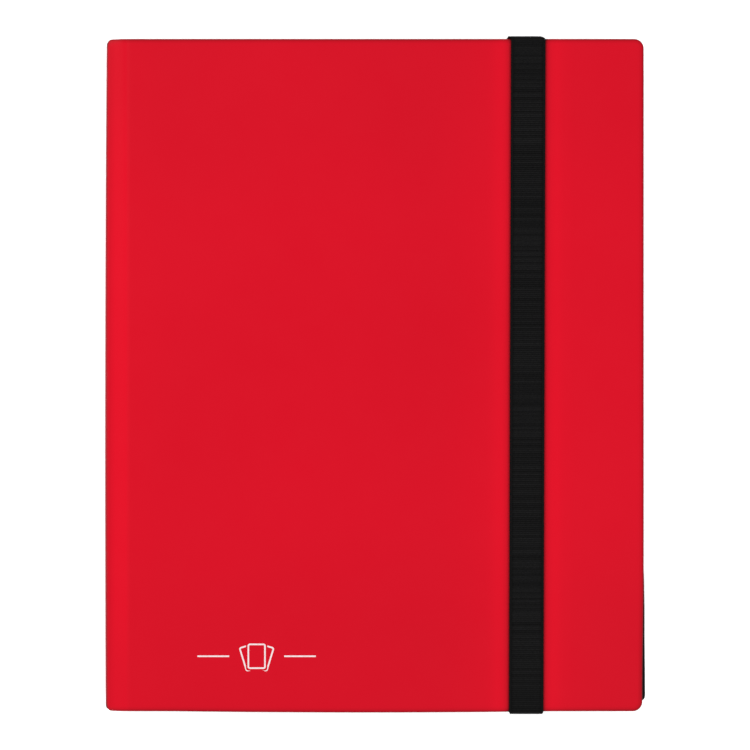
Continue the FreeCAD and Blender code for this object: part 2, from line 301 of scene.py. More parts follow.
def make_object(name, verts, faces, materials, indices, tone=None, flat=0):
    """A mesh object. tone is a brightness factor at each point, which some materials read. The last
    faces, as many as flat says, are flat with sharp edges."""
    mesh = bpy.data.meshes.new(name)
    mesh.from_pydata([tuple(v) for v in verts], [], faces)
    for material in materials:
        mesh.materials.append(material)
    mesh.polygons.foreach_set("material_index", indices)
    mesh.polygons.foreach_set("use_smooth", [True] * (len(faces) - flat) + [False] * flat)
    if tone is not None:
        mesh.attributes.new("tone", "FLOAT", "POINT").data.foreach_set("value", tone)
    obj = bpy.data.objects.new(name, mesh)
    bpy.context.scene.collection.objects.link(obj)
    tidy = bmesh.new()
    tidy.from_mesh(mesh)
    bmesh.ops.delete(tidy, geom=[v for v in tidy.verts if not v.link_faces], context="VERTS")
    bmesh.ops.remove_doubles(tidy, verts=tidy.verts, dist=WELD_REACH)
    bmesh.ops.recalc_face_normals(tidy, faces=tidy.faces)
    for face in tidy.faces:
        if not face.smooth:
            for edge in face.edges:
                edge.smooth = False
    tidy.to_mesh(mesh)
    tidy.free()
    return obj


def shell_faces(rows, columns, keep, offset=0):
    """Faces of a closed sheet whose upper grid comes before its lower grid. keep marks the cells that
    aren't holes. Returns the upper, lower and rim faces."""
    def upper(i, j):
        return offset + i * columns + j

    def lower(i, j):
        return offset + (rows + i) * columns + j

    def filled(i, j):
        return 0 <= i < rows - 1 and 0 <= j < columns - 1 and keep[i, j]

    over, under, rim = [], [], []
    for i in range(rows - 1):
        for j in range(columns - 1):
            if not keep[i, j]:
                continue
            over.append((upper(i, j), upper(i + 1, j), upper(i + 1, j + 1), upper(i, j + 1)))
            under.append((lower(i, j), lower(i, j + 1), lower(i + 1, j + 1), lower(i + 1, j)))
            sides = (
                ((i - 1, j), (i, j), (i, j + 1)),
                ((i + 1, j), (i + 1, j + 1), (i + 1, j)),
                ((i, j - 1), (i + 1, j), (i, j)),
                ((i, j + 1), (i, j + 1), (i + 1, j + 1)),
            )
            for beside, p, q in sides:
                if not filled(*beside):
                    rim.append((upper(*p), upper(*q), lower(*q), lower(*p)))
    return over, under, rim


def sheet_object(name, upper, lower, materials, keep=None, tone=None):
    """A closed sheet between two grids of points. materials are the upper, lower and rim ones, and
    tone is a brightness factor for each point of the grid."""
    rows, columns = upper.shape[:2]
    if keep is None:
        keep = np.ones((rows - 1, columns - 1), bool)
    over, under, rim = shell_faces(rows, columns, keep)
    verts = np.concatenate([upper.reshape(-1, 3), lower.reshape(-1, 3)])
    indices = [0] * len(over) + [1] * len(under) + [2] * len(rim)
    both = None if tone is None else np.tile(tone.ravel(), 2)
    return make_object(name, verts, over + under + rim, materials, indices, both, flat=len(rim))


# --- materials -----------------------------------------------------------------------------------


class Finish:
    """A Principled material with helpers for procedural detail in object coordinates."""

    def __init__(self, name, color, roughness, **sockets):
        self.material = bpy.data.materials.new(name)
        self.material.use_nodes = True
        self.tree = self.material.node_tree
        self.shader = self.tree.nodes["Principled BSDF"]
        self.place = self.node("ShaderNodeTexCoord")
        self.shader.inputs["Base Color"].default_value = (*color, 1)
        self.shader.inputs["Roughness"].default_value = roughness
        for socket, value in sockets.items():
            self.shader.inputs[socket.replace("_", " ")].default_value = value

    def node(self, kind, **settings):
        made = self.tree.nodes.new(kind)
        for key, value in settings.items():
            setattr(made, key, value)
        return made

    def link(self, source, target):
        self.tree.links.new(source, target)

    def noise(self, scale, detail, stretch=(1, 1, 1)):
        """Noise output, with scale in features a metre and stretch as factors on X, Y and Z."""
        mapping = self.node("ShaderNodeMapping")
        mapping.inputs["Scale"].default_value = stretch
        self.link(self.place.outputs["Object"], mapping.inputs["Vector"])
        noise = self.node("ShaderNodeTexNoise")
        noise.inputs["Scale"].default_value = scale
        noise.inputs["Detail"].default_value = detail
        self.link(mapping.outputs["Vector"], noise.inputs["Vector"])
        return noise.outputs["Fac"]

    def bands(self, scale, direction, distortion=0.0):
        """Output of parallel bands across a direction."""
        wave = self.node("ShaderNodeTexWave", bands_direction=direction)
        wave.inputs["Scale"].default_value = scale
        wave.inputs["Distortion"].default_value = distortion
        self.link(self.place.outputs["Object"], wave.inputs["Vector"])
        return wave.outputs["Fac"]

    def color_ramp(self, factor, low, high, toned=False):
        """Base colour between two (position, colour) stops, times the mesh's tone where toned is set."""
        ramp_node = self.node("ShaderNodeValToRGB")
        for element, (position, color) in zip(ramp_node.color_ramp.elements, (low, high)):
            element.position = position
            element.color = (*color, 1)
        self.link(factor, ramp_node.inputs["Fac"])
        color = ramp_node.outputs["Color"]
        if toned:
            tone = self.node("ShaderNodeAttribute", attribute_name="tone")
            scale = self.node("ShaderNodeVectorMath", operation="SCALE")
            self.link(color, scale.inputs["Vector"])
            self.link(tone.outputs["Fac"], scale.inputs["Scale"])
            color = scale.outputs["Vector"]
        self.link(color, self.shader.inputs["Base Color"])

    def roughness(self, factor, low, high):
        """Roughness that runs from low to high as factor runs from 0 to 1."""
        spread_node = self.node("ShaderNodeMapRange")
        spread_node.inputs["To Min"].default_value = low
        spread_node.inputs["To Max"].default_value = high
        self.link(factor, spread_node.inputs["Value"])
        self.link(spread_node.outputs["Result"], self.shader.inputs["Roughness"])

    def bumps(self, *layers):
        """Bump from (height, distance in metres) layers, coarse first."""
        normal = None
        for height, distance in layers:
            bump = self.node("ShaderNodeBump")
            bump.inputs["Distance"].default_value = distance
            bump.inputs["Strength"].default_value = 1.0
            self.link(height, bump.inputs["Height"])
            if normal is not None:
                self.link(normal, bump.inputs["Normal"])
            normal = bump.outputs["Normal"]
        self.link(normal, self.shader.inputs["Normal"])


def red_cover():
    """Satin polypropylene with a very fine grain and faint clouding. Its colour is multiplied by the
    mesh's tone, which holds painted light and shade.
    """
    finish = Finish("cover_red", (0.678, 0.002, 0.0155), 0.42, Specular_IOR_Level=0.12)
    finish.color_ramp(finish.noise(9, 3), (0.3, (0.665, 0.0018, 0.0148)),
                      (0.7, (0.691, 0.0022, 0.0162)), toned=True)
    finish.roughness(finish.noise(60, 4), 0.38, 0.5)
    finish.bumps((finish.noise(2200, 2), 0.006 * MM), (finish.noise(35, 2), 0.04 * MM))
    return finish.material


def red_edge():
    """The cut edge of the sheet, duller and darker than its face."""
    finish = Finish("cover_edge", (0.34, 0.006, 0.014), 0.6, Specular_IOR_Level=0.2)
    finish.color_ramp(finish.noise(700, 3), (0.3, (0.30, 0.005, 0.012)), (0.75, (0.38, 0.007, 0.016)))
    finish.bumps((finish.noise(1500, 3), 0.03 * MM))
    return finish.material


def black_lining():
    """Matte black sheet with a fine leather-like grain."""
    finish = Finish("lining_black", (0.014, 0.014, 0.015), 0.55, Specular_IOR_Level=0.35)
    finish.color_ramp(finish.noise(40, 4), (0.3, (0.010, 0.010, 0.011)), (0.75, (0.018, 0.018, 0.019)))
    finish.roughness(finish.noise(120, 3), 0.48, 0.62)
    finish.bumps((finish.noise(1100, 3), 0.03 * MM))
    return finish.material


def black_page():
    """Smooth black sheet of the pages."""
    finish = Finish("page_black", (0.008, 0.008, 0.009), 0.5, Specular_IOR_Level=0.2)
    finish.color_ramp(finish.noise(25, 3), (0.3, (0.006, 0.006, 0.007)), (0.75, (0.011, 0.011, 0.012)))
    finish.roughness(finish.noise(90, 3), 0.42, 0.58)
    finish.bumps((finish.noise(900, 2), 0.02 * MM))
    return finish.material


def page_edge():
    """The pages' cut edges, where the black is a little scuffed."""
    finish = Finish("page_edge", (0.006, 0.006, 0.006), 0.6, Specular_IOR_Level=0.06)
    finish.color_ramp(finish.noise(240, 4), (0.3, (0.003, 0.003, 0.003)), (0.75, (0.010, 0.010, 0.010)))
    finish.bumps((finish.noise(1400, 2), 0.02 * MM))
    return finish.material


def clear_film():
    """Clear glossy film with slow ripples."""
    finish = Finish("pocket_clear", (0.93, 0.95, 0.97), 0.08, Transmission_Weight=1.0, IOR=1.49)
    finish.roughness(finish.noise(30, 2), 0.05, 0.13)
    finish.bumps((finish.noise(22, 2), 0.25 * MM), (finish.noise(160, 2), 0.02 * MM))
    return finish.material


def film_weld():
    """Film welded to the black sheet, with the diagonal emboss of the weld bar."""
    finish = Finish("pocket_weld", (0.003, 0.003, 0.003), 0.4, Specular_IOR_Level=0.05)
    finish.color_ramp(finish.noise(180, 3), (0.3, (0.002, 0.002, 0.002)), (0.75, (0.005, 0.005, 0.005)))
    finish.roughness(finish.noise(150, 2), 0.32, 0.5)
    finish.bumps((finish.bands(260, "DIAGONAL"), 0.05 * MM), (finish.noise(900, 2), 0.02 * MM))
    return finish.material


def black_elastic():
    """Woven elastic: fine wales along the strap over the ribs that the mesh carries. Its colour is
    multiplied by the mesh's tone, which holds painted light and shade on the ribs.
    """
    finish = Finish("strap_black", (0.006, 0.006, 0.006), 0.85, Specular_IOR_Level=0.07)
    finish.color_ramp(finish.noise(900, 4, (1, 3, 1)), (0.25, (0.004, 0.004, 0.0041)),
                      (0.8, (0.0095, 0.0095, 0.0096)), toned=True)
    finish.bumps((finish.bands(420, "X", 0.4), 0.05 * MM), (finish.noise(3500, 2), 0.04 * MM))
    return finish.material


def black_thread():
    """Shiny polyester thread."""
    finish = Finish("thread_black", (0.02, 0.02, 0.022), 0.5, Sheen_Weight=0.1)
    finish.color_ramp(finish.noise(2500, 3), (0.3, (0.012, 0.012, 0.013)), (0.8, (0.035, 0.035, 0.037)))
    finish.bumps((finish.bands(1800, "DIAGONAL"), 0.05 * MM))
    return finish.material


def white_ink():
    """Screen-printed ink that lets a little of the red through."""
    finish = Finish("emblem_white", (0.90, 0.80, 0.80), 0.5, Specular_IOR_Level=0.2)
    finish.color_ramp(finish.noise(900, 3), (0.25, (0.88, 0.62, 0.64)), (0.55, (0.92, 0.80, 0.81)))
    finish.bumps((finish.noise(1800, 2), 0.01 * MM))
    return finish.material


RED = red_cover()
EDGE = red_edge()
LINER = black_lining()
PAGE = black_page()
PAGE_RIM = page_edge()
FILM = clear_film()
SEAM = film_weld()
ELASTIC = black_elastic()
THREAD = black_thread()
INK = white_ink()


# --- jacket: one scored red sheet in three stretches ---------------------------------------------


def strap_line(y):
    """The strap's middle, which leans a little towards the spine at the foot."""
    return STRAP_X + STRAP_TILT * y / HALF_H


def spine_bow(y):
    """How far the soft spine bulges. It curls in at its two ends."""
    bulge = SPINE_BOW * (1 - ((y - SPINE_BOW_Y) / SPINE_BOW_HALF) ** 2)
    near_end = np.clip((np.abs(y) - HALF_H) / SPINE_CURL_REACH + 1, 0, 1)
    return bulge - SPINE_CURL * (1 - np.sqrt(1 - near_end**2))


def face_height(x, y, front):
    """How far a cover's outer face stands out of its plane, negative where it sinks. The strap holds
    the front cover flat, and the cover swells a little on either side of it."""
    height = -FLEX_DEPTH * bell(x - FLEX_X, FLEX_HALF)
    if front:
        crown = ramp(x, *CROWN_X) * ramp(FORE_X - x, 0, CROWN_FORE)
        wave = ramp(x, FLEX_X, 0) * np.sin(x / WAVE_X + WAVE_START_X) * np.sin(y / WAVE_Y + WAVE_START_Y)
        free = ramp(np.abs(x - strap_line(y)) - STRAP_W / 2, 0, STRAP_PRESS)
        height = height + (CROWN * crown * (1 - (y / HALF_H) ** 2) + WAVE * wave) * free
    return height


def edge_drift(x, y, front):
    """How far the front cover's free edges stray from straight: the fore edge leans in towards the
    foot, and the foot edge bows out."""
    if not front:
        return np.zeros_like(x), np.zeros_like(y)
    proud = FORE_PROUD * ramp(x, *FORE_PROUD_SPAN)
    lean = FOOT_LEAN * ramp(x, *FOOT_LEAN_X) * ramp(-y, *FOOT_LEAN_Y)
    bow = FOOT_BOW * np.clip(1 - ((x - FOOT_BOW_X) / FOOT_BOW_HALF) ** 2, 0, 1)
    return proud - lean, -bow * ramp(-y, *FOOT_BOW_Y)


def painted_cover_shading(x, y, along, inside, front):
    """Painted light and shade on the red: painted shade along the rim, the fold and the spine, across
    the middle, towards the head and foot, at the foot's fore corner and right beside the strap; a
    painted highlight just inside the rim; painted light on the band by the fold, just past the flex line
    and on either side of the strap."""
    edge = EDGE_SHADE * np.exp(-inside / EDGE_SHADE_WIDTH) - patch(inside, *EDGE_HIGHLIGHT)
    fold = patch(along, *FOLD_SHADE) + SPINE_SHADE * ramp(-along, *SPINE_SHADE_SPAN)
    flex_band_light = FLEX_BAND_LIGHT * ramp(x, *FLEX_BAND_LIGHT_START) * ramp(FLEX_BAND_LIGHT_END - x, 0, FLEX_BAND_LIGHT_END_FADE)
    flex_band_light = flex_band_light * (1 - FLEX_BAND_LIGHT_LOSS * ramp(np.abs(y), *FLEX_BAND_LIGHT_LOSS_SPAN))
    flat = patch(x, *PAST_FLEX_LIGHT) - patch(x, *MIDDLE_SHADE)
    ends = ENDS_SHADE * ramp(np.abs(y), *ENDS_SHADE_SPAN)
    corner = CORNER_SHADE * ramp(x, *CORNER_SHADE_X) * ramp(-y, *CORNER_SHADE_Y)
    tone = 1 - edge - fold + flex_band_light + flat - ends - corner
    if front:
        beside = np.abs(x - strap_line(y)) - STRAP_W / 2
        tone = tone + patch(beside, *STRAP_SIDE_LIGHT) + patch(beside, *STRAP_WIDE_LIGHT)
        tone = tone - STRAP_SHADE * np.exp(-np.maximum(beside, 0) / STRAP_SHADE_WIDTH)
    return tone


def fold_notch(along, x):
    """How far the sheet's ends are cut back where it folds. along is the way past the fold's start."""
    into = np.clip(x - SPINE_X, 0, FOLD_CORNER_R)
    plan = FOLD_CORNER_R - np.sqrt(FOLD_CORNER_R**2 - (FOLD_CORNER_R - into) ** 2)
    return np.where(along >= 0, plan, FOLD_CORNER_R * (1 - ramp(-along, 0, FOLD_CORNER_REACH)))


def fold_sink(past):
    """How far the sheet sinks at a distance past the fold's middle, negative on the spine."""
    over_cover, over_spine = ramp(past, *COVER_SINK_SPAN), ramp(-past, *SPINE_SINK_SPAN)
    return FOLD_SINK * (1 - np.where(past > 0, over_cover, over_spine))


def jacket_section(s):
    """Outer line of the sheet from the seam on the spine, round the fold and out over the front
    cover. Returns x, z, the outward normal and the way past the fold's start."""
    along = s - (SEAM_DROP - FOLD_R)
    turn = np.clip(along / FOLD_R, 0, math.pi / 2)
    x = SPINE_X + FOLD_R - FOLD_R * np.cos(turn) + np.maximum(along - FOLD_R * math.pi / 2, 0)
    z = TOP - FOLD_R + FOLD_R * np.sin(turn) + np.minimum(along, 0)
    return x, z, -np.cos(turn), np.sin(turn), along


def jacket_grid(front):
    """Section and height lines of a cover, closer together where the sheet bends. Returns the grid,
    and the section way of the fore edge."""
    fold_end = SEAM_DROP - FOLD_R + FOLD_R * math.pi / 2
    to_s = fold_end - (SPINE_X + FOLD_R)
    fore_s = FORE_X + to_s
    flex = FLEX_X + to_s + FLEX_LINES
    if front:
        beside = STRAP_W / 2 + STRAP_SIDE_LINES
    else:
        beside = SLOT_HALF_W + np.array([0, DISH_EDGE])
    s = lines(
        spread(0, SEAM_DROP - FOLD_R, SEAM_STEP),
        spread(SEAM_DROP - FOLD_R, fold_end, FOLD_STEP),
        spread(fold_end, flex[0], FLEX_STEP),
        flex,
        STRAP_X + to_s + beside,
        STRAP_X + to_s - beside,
        spread(flex[-1], fore_s - CORNER_R, GRID_STEP),
        fore_s - np.array(RIM_LINES),
    )
    v = edge_lines(HALF_H, RIM_LINES, GRID_STEP)
    if not front:
        slot = np.array([SLOT_INNER, SLOT_OUTER - DISH_EDGE, SLOT_OUTER])
        v = lines(v, slot, -slot)
    return np.meshgrid(s, v, indexing="ij"), fore_s


def outside_slots(x, y, half_width, outer):
    """Marks the cells of a grid that aren't in one of the strap's two slots."""
    xm = np.abs((x[1:, 1:] + x[:-1, :-1]) / 2 - STRAP_X)
    ym = np.abs(y[1:, 1:] + y[:-1, :-1]) / 2
    return ~((xm < half_width) & (ym > SLOT_INNER) & (ym < outer))


def turn_over(*grids):
    """Moves grids of points from the front cover to the back cover."""
    for grid in grids:
        grid[..., 2] = TOP - grid[..., 2]


def jacket(name, front):
    """A cover panel, its fold and the near strip of the spine, as one sheet."""
    (s, v), fore_s = jacket_grid(front)
    s, y, inside = round_corners(s, v, fore_s, HALF_H, CORNER_R)
    x, z, nx, nz, along = jacket_section(s)
    tone = painted_cover_shading(x, y, along, inside, front)
    y = y - np.sign(y) * fold_notch(along, x) * ramp(np.abs(v), *FOLD_END_SPAN)
    past = along - FOLD_R * math.pi / 4
    out = spine_bow(y) * (1 - ramp(past, 0, SPINE_BOW_FADE)) - fold_sink(past)
    out = out + face_height(x, y, front) * ramp(past, *FACE_SPAN)
    keep = None
    if not front:
        dish = ramp(SLOT_HALF_W + DISH_EDGE - np.abs(x - STRAP_X), 0, DISH_EDGE)
        out = out - DISH_DEPTH * dish * ramp(np.abs(v), SLOT_OUTER - DISH_EDGE, SLOT_OUTER)
        keep = outside_slots(x, v, SLOT_HALF_W, SLOT_OUTER - DISH_EDGE)
    drift_x, drift_y = edge_drift(x, y, front)
    x, y = x + drift_x, y + drift_y
    drop = rim_drop(inside, RIM_R)
    upper = np.stack([x + nx * (out - drop), y, z + nz * (out - drop)], -1)
    lower = np.stack([x + nx * (out - SHEET + drop), y, z + nz * (out - SHEET + drop)], -1)
    if not front:
        turn_over(upper, lower)
    return sheet_object(name, upper, lower, (RED, LINER, EDGE), keep, tone)


def spine_strip():
    """The middle of the spine, which joins the two jackets in its flat part."""
    across = edge_lines(HALF_H, RIM_LINES, GRID_STEP)
    z, v = np.meshgrid(spread(SEAM_DROP, TOP - SEAM_DROP, SPINE_STEP), across, indexing="ij")
    inside = HALF_H - np.abs(v)
    drop = rim_drop(inside, RIM_R)
    out = spine_bow(v)
    upper = np.stack([SPINE_X - out + drop, v, z], -1)
    lower = np.stack([SPINE_X - out + SHEET - drop, v, z], -1)
    # Painted shade over the spine and along its rim.
    tone = 1 - SPINE_SHADE - EDGE_SHADE * np.exp(-inside / EDGE_SHADE_WIDTH)
    return sheet_object("spine_sheet", upper, lower, (RED, LINER, EDGE), tone=tone)


def build_jackets():
    """Both covers with their folds, and the spine between them."""
    front = jacket("front_jacket", front=True)
    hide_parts("front_cover_panel", "front_fold_crease")
    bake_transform(front)
    back = jacket("back_jacket", front=False)
    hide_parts("back_cover_panel", "back_fold_crease")
    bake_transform(back)
    spine = spine_strip()
    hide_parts("spine_panel")
    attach(spine, "spine")


def cover_lining(name, front):
    """The black sheet inside a cover, which follows the cover's own shape."""
    x0 = SPINE_X + FOLD_R
    x1, half = FORE_X - LINING_INSET, HALF_H - LINING_INSET
    beside = np.array([SLOT_HALF_W, SLOT_HALF_W + DISH_EDGE])
    slot = np.array([SLOT_INNER, SLOT_OUTER - DISH_EDGE, SLOT_OUTER])
    fore = x1 - LINING_LINES
    u = lines(spread(x0, fore[-1], GRID_STEP), fore, STRAP_X + beside, STRAP_X - beside)
    v = lines(edge_lines(half, LINING_LINES, GRID_STEP), slot, -slot)
    gx, gy = np.meshgrid(u, v, indexing="ij")
    x, y, inside = round_corners(gx, gy, x1, half, CORNER_R - LINING_INSET)
    past = x - x0 + FOLD_R * math.pi / 4
    height = face_height(x, y, front) * ramp(past, *FACE_SPAN) - fold_sink(past)
    drift_x, drift_y = edge_drift(x, y, front)
    outer = TOP + height - SHEET + LINING_OVERLAP
    inner = outer - LINING + rim_drop(inside, LINING_RIM_R)
    upper = np.stack([x + drift_x, y + drift_y, outer], -1)
    lower = np.stack([x + drift_x, y + drift_y, inner], -1)
    keep = None
    if not front:
        turn_over(upper, lower)
        keep = outside_slots(gx, gy, SLOT_HALF_W + DISH_EDGE, HALF_H)
    return sheet_object(name, upper, lower, (LINER, LINER, LINER), keep)


def paint(node, material):
    """Gives a CAD node that stays its material."""
    mesh = frame["nodes"][node].data
    mesh.materials.clear()
    mesh.materials.append(material)


def build_linings():
    """The covers' linings. The spine's lining and the binding strip stay as they are in CAD."""
    for side, front in (("front", True), ("back", False)):
        obj = cover_lining(f"{side}_lining", front)
        body = f"{side}_cover"
        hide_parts(body + "_lining")
        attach(obj, body)
    paint("spine_lining", LINER)
    paint("binding_strip", PAGE)


# --- pages ---------------------------------------------------------------------------------------


def page_shape(number):
    """Height and sideways shift of one page as functions of place, so that no two pages lie alike.
    The top page stands furthest out near the foot and has slipped furthest towards it."""
    a, b, c = (random.uniform(0, 2 * math.pi) for _ in range(3))
    lean = 1.0 if number == PAGE_COUNT else random.uniform(0.5, 0.95)

    def height(x, y):
        grow = ramp(x, HINGE_X, HINGE_X + PAGE_WAVE_REACH)
        ripple = np.sin(x / PAGE_RIPPLE_X + a) * np.sin(y / PAGE_RIPPLE_Y + b)
        ripple = ripple + 0.5 * np.sin(y / PAGE_RIPPLE_LONG + c)
        return PAGE_WAVE * grow * ripple / 1.5

    def shift(x, y):
        out = sum(share * ramp(-y, start, end) for share, start, end in PAGE_PUSH_STEPS)
        reach = lean * ramp(x, HINGE_X, FORE_X)
        return PAGE_PUSH * reach * out, -PAGE_SLIP * reach

    return height, shift


def page_sheet(number, height, shift):
    """A page's black leaf, which is thinner at its hinge."""
    lo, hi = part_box(f"page_{number:02d}_sheet")
    middle, half = (lo.z + hi.z) / 2, hi.y
    fore = hi.x - PAGE_LINES
    u = lines(PAGE_HINGE_LINES, spread(PAGE_GRID_X, fore[-1], PAGE_STEP), fore)
    gx, gy = np.meshgrid(u, edge_lines(half, PAGE_LINES, PAGE_STEP), indexing="ij")
    x, y, inside = round_corners(gx, gy, hi.x, half, PAGE_CORNER_R)
    full = ramp(x, HINGE_X, HINGE_X + PAGE_THIN_REACH)
    thick = (hi.z - lo.z) / 2 * (PAGE_THIN + (1 - PAGE_THIN) * full) - rim_drop(inside, PAGE_RIM_R)
    level = middle + height(x, y)
    shift_x, shift_y = shift(x, y)
    x, y = x + shift_x, y + shift_y
    upper = np.stack([x, y, level + thick], -1)
    lower = np.stack([x, y, level - thick], -1)
    return sheet_object(f"page_{number:02d}_leaf", upper, lower, (PAGE, PAGE, PAGE_RIM))


def pocket_lines(start, size, mouth):
    """Grid lines over a row of pockets. mouth says that each pocket's first edge is free."""
    found = []
    for index in range(POCKETS):
        p = start + index * size
        inner = p if mouth else p + WELD
        outer = p + size - WELD
        found += [inner + step for step in FILM_LINES] + [outer - step for step in FILM_LINES]
        found += list(np.linspace(inner + FILM_LINES[-1], outer - FILM_LINES[-1], 6)[1:-1])
        if mouth:
            found.append(p - MOUTH_GAP)
    return found


def puff(distance, size, free_start):
    """Lift of a pocket's film across one direction, 0 at a weld and up to 1 in the middle."""
    rise = np.ones_like(distance) if free_start else ramp(distance, 0, FILM_RISE)
    return rise * ramp(size - distance, 0, FILM_RISE)


def pocket_place(x, y, x0, y0):
    """Ways into the pocket that a point lies over, from its mouth and from its lower weld, and
    whether the film there is free of the sheet."""
    column = np.clip(np.floor((x - x0) / CELL_W + CELL_SLACK), 0, POCKETS - 1)
    row = np.clip(np.floor((y - y0) / CELL_H), 0, POCKETS - 1)
    px = x - x0 - column * CELL_W
    py = y - y0 - row * CELL_H - WELD
    free = (px >= 0) & (px <= CELL_W - WELD) & (py >= 0) & (py <= CELL_H - 2 * WELD)
    return px, py, free


def film_lift(x, y, x0, y0):
    """How far the film stands off the page."""
    px, py, free = pocket_place(x, y, x0, y0)
    wide = puff(px, CELL_W - WELD, True)
    tall = puff(py, CELL_H - 2 * WELD, False)
    lip = 1 + FILM_LIP * bell(px, FILM_LIP_REACH)
    return FILM_LOW + FILM_PUFF * np.where(free, wide * tall * lip, 0)


def page_pockets(number, height, shift):
    """Both films of a page, as one piece, clear over the pockets and dull where they are welded."""
    lo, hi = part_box(f"page_{number:02d}_pockets")
    sheet_lo, sheet_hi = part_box(f"page_{number:02d}_sheet")
    half_sheet = (sheet_hi.z - sheet_lo.z) / 2
    middle = (sheet_lo.z + sheet_hi.z) / 2
    x0 = hi.x - FILM_BORDER - POCKETS * CELL_W
    y0 = -POCKETS * CELL_H / 2
    border = np.array([0, 1, PAGE_CORNER_R / MM]) * MM
    u = lines([lo.x, lo.x + 1 * MM], pocket_lines(x0, CELL_W, True), hi.x - border)
    v = lines(lo.y + border, hi.y - border, pocket_lines(y0, CELL_H, False))
    gx, gy = np.meshgrid(u, v, indexing="ij")
    x, y, _ = round_corners(gx, gy, hi.x, hi.y, PAGE_CORNER_R - FILM_EDGE)
    level = middle + height(x, y)
    lift = film_lift(gx, gy, x0, y0)
    shift_x, shift_y = shift(x, y)
    x, y = x + shift_x, y + shift_y
    inside_x = (gx[1:, 1:] + gx[:-1, :-1]) / 2
    inside_y = (gy[1:, 1:] + gy[:-1, :-1]) / 2
    welded = (~pocket_place(inside_x, inside_y, x0, y0)[2]).astype(int).ravel().tolist()
    verts, faces, indices = [], [], []
    keep = np.ones((len(u) - 1, len(v) - 1), bool)
    for side in (1, -1):
        near = np.stack([x, y, level + side * (half_sheet + lift)], -1)
        far = np.stack([x, y, level + side * (half_sheet + lift + FILM_T)], -1)
        over, under, rim = shell_faces(len(u), len(v), keep, len(verts) * near.size // 3)
        verts += [far.reshape(-1, 3), near.reshape(-1, 3)]
        faces += over + under + rim
        indices += welded + welded + [1] * len(rim)
    name = f"page_{number:02d}_films"
    return make_object(name, np.concatenate(verts), faces, (FILM, SEAM), indices)


def build_pages():
    """Every page's black leaf and its films."""
    for number in range(1, PAGE_COUNT + 1):
        height, shift = page_shape(number)
        leaf = page_sheet(number, height, shift)
        films = page_pockets(number, height, shift)
        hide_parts(f"page_{number:02d}_sheet")
        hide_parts(f"page_{number:02d}_pockets")
        body = f"page_{number:02d}"
        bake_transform(leaf)
        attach(films, body)


# --- strap ---------------------------------------------------------------------------------------


def strap_section():
    """Half outline of the ribbon's section from one edge to the other: offsets across, and the share
    of the half thickness there."""
    half_w, edge = STRAP_W / 2, STRAP_T * EDGE_ROUND
    turn = np.linspace(0, math.pi / 2, 4)
    body = np.linspace(0, half_w * BODY_SHARE, 4)
    groove = half_w - SELVAGE - SELVAGE_GROOVE * np.array([1, 0.5, 0])
    side = np.concatenate([body[1:], groove, half_w - edge * (1 - np.cos(turn[::-1]))])
    share = np.concatenate([np.ones(len(body) + len(groove) - 1), np.sin(turn[::-1])])
    return np.concatenate([-side[::-1], [0], side]), np.concatenate([share[::-1], [1], share])


def ribbon(name, path, narrow, sway=None):
    """A ribbed elastic ribbon along a path of (y, z) points. Along the path, narrow gives how much
    less wide each half is, and sway how far the ribbon stands aside."""
    path = np.array(path)
    along = np.concatenate([[0], np.cumsum(np.linalg.norm(np.diff(path, axis=0), axis=1))])
    at = np.linspace(0, along[-1], int(along[-1] / RIB_PITCH * ROWS_PER_RIB) + 1)
    y, z = np.interp(at, along, path[:, 0]), np.interp(at, along, path[:, 1])
    dy, dz = np.gradient(y), np.gradient(z)
    size = np.hypot(dy, dz)
    ny, nz = (-dz / size)[:, None], (dy / size)[:, None]
    less = np.interp(at, along, narrow)
    aside = np.zeros_like(at) if sway is None else np.interp(at, along, sway)
    offsets, share = strap_section()
    to_edge = STRAP_W / 2 - np.abs(offsets)
    ribbed = (to_edge > SELVAGE + SELVAGE_GROOVE / 4).astype(float)
    grooved = bell(to_edge - SELVAGE - SELVAGE_GROOVE / 2, SELVAGE_GROOVE / 2)
    crest = np.abs(np.sin(math.pi * at / RIB_PITCH))[:, None]
    thick = STRAP_T / 2 * share - RIB_HEIGHT * (1 - crest) * ribbed - GROOVE_DEPTH * grooved
    yarn = np.random.default_rng(len(at)).uniform(-1, 1, len(at) // ROWS_PER_RIB + 1)
    uneven = RIB_VARIATION * yarn[np.arange(len(at)) // ROWS_PER_RIB][:, None]
    # The tone holds a painted highlight on each rib's crest, painted shade in its valley and in the
    # selvage grooves, darker edges and a random change from rib to rib.
    dark = GROOVE_SHADE * grooved + SIDE_DARK * bell(to_edge, SELVAGE / 2)
    tone = np.maximum(1 + ribbed * (RIB_CREST_HIGHLIGHT * crest - RIB_VALLEY_SHADE + uneven) - dark, DARKEST)
    x = (strap_line(y) + aside)[:, None] + offsets * (1 - less[:, None] / (STRAP_W / 2))
    y, z = y[:, None], z[:, None]
    upper = np.stack([x, y + ny * thick, z + nz * thick], -1)
    lower = np.stack([x, y - ny * thick, z - nz * thick], -1)
    obj = sheet_object(name, upper, lower, (ELASTIC, ELASTIC, ELASTIC), tone=tone)
    return obj


def arc(centre_y, centre_z, start, end, count=10):
    """Points of a bend of the strap's middle line, with angles in degrees from +Y towards +Z."""
    angles = np.radians(np.linspace(start, end, count))
    return [(centre_y + BEND_R * math.cos(a), centre_z + BEND_R * math.sin(a)) for a in angles]


def build_band():
    """The front run, flat on the cover from bend to bend."""
    level = TOP + STRAP_T / 2 + STRAP_CLEAR
    band = ribbon("strap_band", [(BEND_Y, level), (-BEND_Y, level)], [STRETCH_NARROWING] * 2)
    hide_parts("elastic_strap")
    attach(band, "strap")


